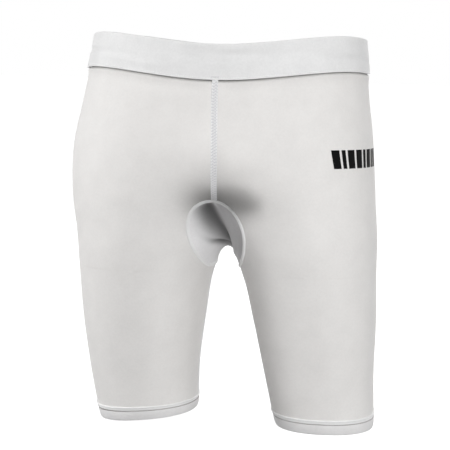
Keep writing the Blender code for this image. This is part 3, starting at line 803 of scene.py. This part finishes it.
def hems():
    """Turned-up hems: band, the rounded ridge over its raw edge, and the needle rows under it, whose dark
    thread is painted shadow under the ridge.
    """
    turn = np.linspace(0, 2 * math.pi, HEM_COLUMNS, endpoint=False)
    band = [(-0.7, 12.3), (-0.35, 11.6), (-0.05, 10.4), (0.10, 8.4), (0.05, 6.0), (-0.20, 3.6),
            (-0.55, 1.6), (-0.90, 0.5), (-1.30, 0.05), (-1.75, 0.25), (-2.10, 1.0), (-2.10, 6.0),
            (-2.05, 12.3)]
    ridge = [(-0.5, 12.3), (0.10, 12.5), (0.40, 13.3), (0.45, 14.3), (0.45, 15.2), (0.80, 15.5),
             (1.15, 15.9), (1.20, 16.4), (0.95, 16.9), (0.40, 17.2), (-0.6, 17.3)]
    for word, side in SIDES.items():
        def place(level, side=side):
            return on_leg(side, turn, np.full(turn.shape, level))
        cuff = loft(f"{word}_hem_cloth", level_ring(place, [(a * MM, b * MM) for a, b in band]),
                    hem_jersey, loop=True)
        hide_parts(f"{word}_hem_band")
        roll = loft(f"{word}_hem_ridge", level_ring(place, [(a * MM, b * MM) for a, b in ridge]),
                    thread, loop=True)
        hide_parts(f"{word}_hem_coverstitch")
        rows = []
        levels, radius = HEM_NEEDLES[word]
        for level in levels:
            line = level_ring(place, [(-0.05 * MM, level * MM)])[:, 0]
            line = np.concatenate([line, line[:1]])
            rows.append(stitch_row(line, facing(line), 3.0 * MM, 2.3 * MM, radius * MM, 0.1 * MM))
        needles = add_stitches(f"{word}_hem_needle_rows", rows, hem_shadow_thread)
        for obj in (cuff, roll, needles):
            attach(obj, f"{word}_thigh")


# ---------------------------------------------------------------- waistband
WAIST_COLUMNS = 420
# Soft creases pressed into the band: direction (degrees), its reach, height below the rim, depth.
CREASES = [(-158, 26, 20.0, 0.9), (-140, 16, 27.0, -0.5), (-80, 26, 11.0, 0.8), (-100, 20, 15.0, 0.4),
           (-24, 20, 23.0, 0.8), (-40, 14, 16.0, 0.3), (70, 30, 14.0, 0.7), (120, 24, 22.0, 0.6)]


def band_ring(profile):
    """Closed sections round the waist: profile gives (outset, height above the rim) in mm."""
    turn = np.linspace(0, 2 * math.pi, WAIST_COLUMNS, endpoint=False)
    girdle = on_waist(turn, np.full(turn.shape, RIM - BAND / 2))
    rim = rim_height(girdle)
    sections = []
    for outset, level in profile:
        p = on_waist(turn, rim + level * MM)
        out = facing(p) * np.array((1, 1, 0))
        press = np.zeros(turn.shape)
        for direction, reach, below, depth in CREASES:
            away = (turn - math.radians(direction) + math.pi) % (2 * math.pi) - math.pi
            drift = 2.5 * np.sin(away * 3)
            press += 2.5 * depth * bell(away, math.radians(reach)) * bell(-level - below - drift, 1.9)
        offset = (outset - press) * MM
        sections.append(p + offset[:, None] * out / np.linalg.norm(out, axis=-1, keepdims=True))
    return np.stack(sections, axis=1)


def casing_wall(outset, radius, depth, levels, steps):
    """One face of the folded casing: up outside, over the fold and down inside."""
    up = [(outset, level) for level in levels]
    arc = np.linspace(math.pi, 0, steps)
    over = [(-depth / 2 + radius * -math.cos(a), -depth / 2 + radius * math.sin(a)) for a in arc[1:-1]]
    down = [(-depth - outset, level) for level in levels[::-1]]
    return up + over + down


def waistband():
    """Folded knit casing over its elastic, with a narrow turned edge above the slot over the panels."""
    depth = 3.4
    height = BAND / MM
    foot = np.linspace(-height, -height + 6, 5)
    levels = np.concatenate([foot, np.linspace(-height + 9, -depth / 2, 10)])
    outer = casing_wall(0.1, depth / 2 + 0.1, depth, levels, 12)
    inner = casing_wall(-0.8, depth / 2 - 0.8, depth, levels, 8)
    casing = loft("waistband_casing_cloth", band_ring(outer + inner[::-1]), band_jersey, loop=True)
    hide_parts("waistband_casing")

    rubber = [(-1.2, level) for level in np.linspace(-35, -3.6, 12)]
    rubber += [(-2.2, level) for level in np.linspace(-3.6, -35, 12)]
    elastic = loft("waistband_elastic_band", band_ring(rubber), elastic_weave, loop=True)
    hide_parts("waistband_elastic")

    join = -height
    edge = [(-0.9, join + 1.6), (0.15, join + 1.7), (0.45, join + 1.2), (0.60, join + 0.6),
            (0.60, join + 0.1), (0.35, join - 0.25), (-0.10, join - 0.30), (-0.9, join - 0.1)]
    roll = loft("waistband_turned_edge", band_ring(edge), band_jersey, loop=True)
    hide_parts("waistband_join_stitching")
    line = band_ring([(0.2, join + 2.2)])[:, 0]
    line = np.concatenate([line, line[:1]])
    rows = [stitch_row(line, facing(line), 2.6 * MM, 2.0 * MM, 0.20 * MM, 0.05 * MM)]
    needles = add_stitches("waistband_edge_needle_row", rows, bright_thread)
    for obj in (casing, elastic, roll, needles):
        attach(obj, "hips")


def bar_tacks():
    """Short dense rows of thread that lock the centre seams to the waistband."""
    rows = []
    for way in (FRONT, BACK):
        for level in (2.2, 3.4):
            x = np.linspace(-4.2 * MM, 4.2 * MM, 16)
            top = rim_height(on_centre(0.0, RIM - BAND, way)[None])[0] - BAND
            line = on_centre(x, np.full(x.shape, top + level * MM), way)
            out = facing(line)
            rows.append(stitch_row(line + out * 0.15 * MM, out, 1.4 * MM, 1.1 * MM, 0.24 * MM, 0.15 * MM))
    tacks = add_stitches("waistband_bar_tacks", rows, tack_thread)
    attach(tacks, "hips")


# ---------------------------------------------------------------- side print
def side_print():
    """Plain slanted blocks pressed onto the left hip, where the makers put a mark."""
    bottom, top = 0.2985, 0.3185
    slant = math.radians(2.2)
    widths = np.radians((4.6, 2.4, 4.6, 4.6, 2.4, 4.6, 2.4, 4.6))
    gap = math.radians(1.35)
    start = math.radians(-45.5)
    z = np.linspace(top, bottom, 12)[:, None]
    tall = (z - bottom) / (top - bottom)
    pieces = []
    for width in widths:
        turn = start + slant * tall + np.linspace(0, width, 8)[None, :]
        pieces.append(on_leg(1, turn, z))
        start += width + gap
    for number, patch in enumerate(pieces, 1):
        out = facing(patch)
        block = cloth(f"side_print_block_{number}", patch + out * 0.22 * MM, out, film, 0.15 * MM)
        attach(block, "hips")
        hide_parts("side_print_transfer")


# ---------------------------------------------------------------- studio
CAMERA_TURN = math.radians(7)    # towards the wearer's left
CAMERA_ROLL = math.radians(1.3)
CAMERA_AWAY = 1.70
CAMERA_HEIGHT = 0.40
CAMERA_AIM = (0.0, 0.0, 0.225)
CAMERA_LENS = 119.3              # on the 36 mm sensor
FORK = (0.008, -0.105, 0.257)   # where the legs part, in front
KEY = (0.95, -1.80, 0.30)
FLAG_SIZE = (0.030, 0.017, 1)
FLAG_AWAY = 0.075
SKY_BELOW = 0.18
SKY_ABOVE = 0.35


def camera():
    """Long lens a little above the hips, a few degrees round to the wearer's left."""
    data = bpy.data.cameras.new("camera")
    data.lens = CAMERA_LENS
    data.sensor_width = 36
    shift = Vector((*PLACE, 0))
    eye = Vector((math.sin(CAMERA_TURN) * CAMERA_AWAY, -math.cos(CAMERA_TURN) * CAMERA_AWAY, CAMERA_HEIGHT))
    ahead = (Vector(CAMERA_AIM) - eye).normalized()
    right = ahead.cross(Vector((0, 0, 1))).normalized()
    up = right.cross(ahead)
    tilted = right * math.cos(CAMERA_ROLL) + up * math.sin(CAMERA_ROLL)
    upright = up * math.cos(CAMERA_ROLL) - right * math.sin(CAMERA_ROLL)
    pose = Matrix((tilted, upright, -ahead)).transposed().to_4x4()
    pose.translation = eye + shift
    obj = bpy.data.objects.new("camera", data)
    obj.matrix_world = pose
    bpy.context.scene.collection.objects.link(obj)
    bpy.context.scene.camera = obj


def softbox(name, place, aim, size, power):
    """Square soft light of a size in metres, turned to its aim."""
    data = bpy.data.lights.new(name, "AREA")
    data.shape = "RECTANGLE"
    data.size, data.size_y = size
    data.energy = power
    obj = bpy.data.objects.new(name, data)
    obj.location = place
    obj.rotation_euler = (Vector(aim) - Vector(place)).to_track_quat("-Z", "Y").to_euler()
    bpy.context.scene.collection.objects.link(obj)


def studio():
    """Lit white table under soft light that comes mostly from in front, on the wearer's left."""
    bpy.ops.mesh.primitive_plane_add(size=120, location=(0, 0, -0.2 * MM))
    floor = bpy.context.object
    floor.name = "light_table"
    floor.data.materials.append(lit_acrylic("opal_acrylic"))
    floor.visible_diffuse = False    # keeps the table's glare off the cloth
    softbox("key_softbox", KEY, FORK, (0.8, 0.8), 20.5)
    softbox("rim_softbox", (-1.70, -0.10, 0.45), (0, 0, 0.20), (0.5, 1.4), 17)
    softbox("top_softbox", (-0.10, -0.55, 2.00), (0, 0, 0.30), (1.2, 0.8), 7.5)
    softbox("back_softbox", (0.50, 2.20, 0.90), (0, 0, 0.25), (1.2, 0.8), 14)
    flag()
    studio_sky()
    bpy.context.scene.view_settings.view_transform = "Standard"


def flag():
    """Small black card between the key light and the fork, out of sight, that shades the fork."""
    toward_key = (Vector(KEY) - Vector(FORK)).normalized()
    bpy.ops.mesh.primitive_circle_add(vertices=32, radius=1, fill_type="NGON")
    card = bpy.context.object
    card.name = "black_flag"
    card.scale = FLAG_SIZE
    card.location = Vector(FORK) + toward_key * FLAG_AWAY
    card.rotation_euler = toward_key.to_track_quat("Z", "Y").to_euler()
    card.data.materials.append(black_card("black_card"))
    card.visible_camera = False


def studio_sky():
    """White backdrop round the horizon, dimmer light above it and dark below."""
    world = bpy.data.worlds.new("studio")
    world.use_nodes = True
    tree = world.node_tree
    direction = tree.nodes.new("ShaderNodeTexCoord").outputs["Generated"]
    split = tree.nodes.new("ShaderNodeSeparateXYZ")
    share = tree.nodes.new("ShaderNodeMapRange")
    ramp = tree.nodes.new("ShaderNodeValToRGB")
    share.inputs["From Min"].default_value = -1
    tree.links.new(direction, split.inputs[0])
    tree.links.new(split.outputs["Z"], share.inputs["Value"])
    tree.links.new(share.outputs["Result"], ramp.inputs["Fac"])
    tree.links.new(ramp.outputs["Color"], tree.nodes["Background"].inputs["Color"])
    bands = ramp.color_ramp.elements
    bands.remove(bands[1])
    bands[0].position, bands[0].color = 0.46, [SKY_BELOW] * 3 + [1]
    for position, light in ((0.47, 1), (0.54, 1), (0.62, SKY_ABOVE)):
        bands.new(position).color = [light] * 3 + [1]
    bpy.context.scene.world = world


# ---------------------------------------------------------------- make everything
# The panels' jersey and the gusset's jersey take painted shade from each piece's attribute.
jersey = polyester_jersey("white_polyester_jersey", "#F0EEEC", "#EAE8E6", folded=True)
# Painted light: the gusset's jersey is drawn brighter than the panels' jersey to lift it out of its shade.
gusset_jersey_painted_lighter = polyester_jersey("gusset_jersey_painted_lighter", "#FCFBFC", "#F4F3F4", folded=True)
band_jersey = polyester_jersey("waistband_jersey", "#F1F1F1", "#E9E9E9")
hem_jersey = polyester_jersey("hem_jersey", "#F1F0F0", "#E8E7E7")
lining_mesh = polyester_jersey("lining_tricot_mesh", "#EDEDEF", "#D9D9DC", wale=2.0, course=2.4, depth=0.3)
thread = textured_thread("textured_polyester_thread", "#FBFBFB", "#F0F0F0")
bright_thread = textured_thread("needle_thread", "#FFFFFF", "#F2F2F2")
tape_thread = textured_thread("flat_seam_thread", "#E6E6E8", "#D6D6DA")
tack_thread = textured_thread("bar_tack_thread", "#CFCFD2", "#BDBDC1")
# Painted shadow: dark thread for the hems' needle rows, standing in for the shade under the ridge.
hem_shadow_thread = textured_thread("hem_stitch_painted_shadow_thread", "#8A807E", "#6E6462")
elastic_weave = woven_elastic("woven_elastic")
film = transfer_film("black_transfer_film")

for word, side in SIDES.items():
    leg_panel(word, side)
centre_seams()
inseams()
gusset()
gusset_binding()
hems()
waistband()
bar_tacks()
side_print()
camera()
studio()
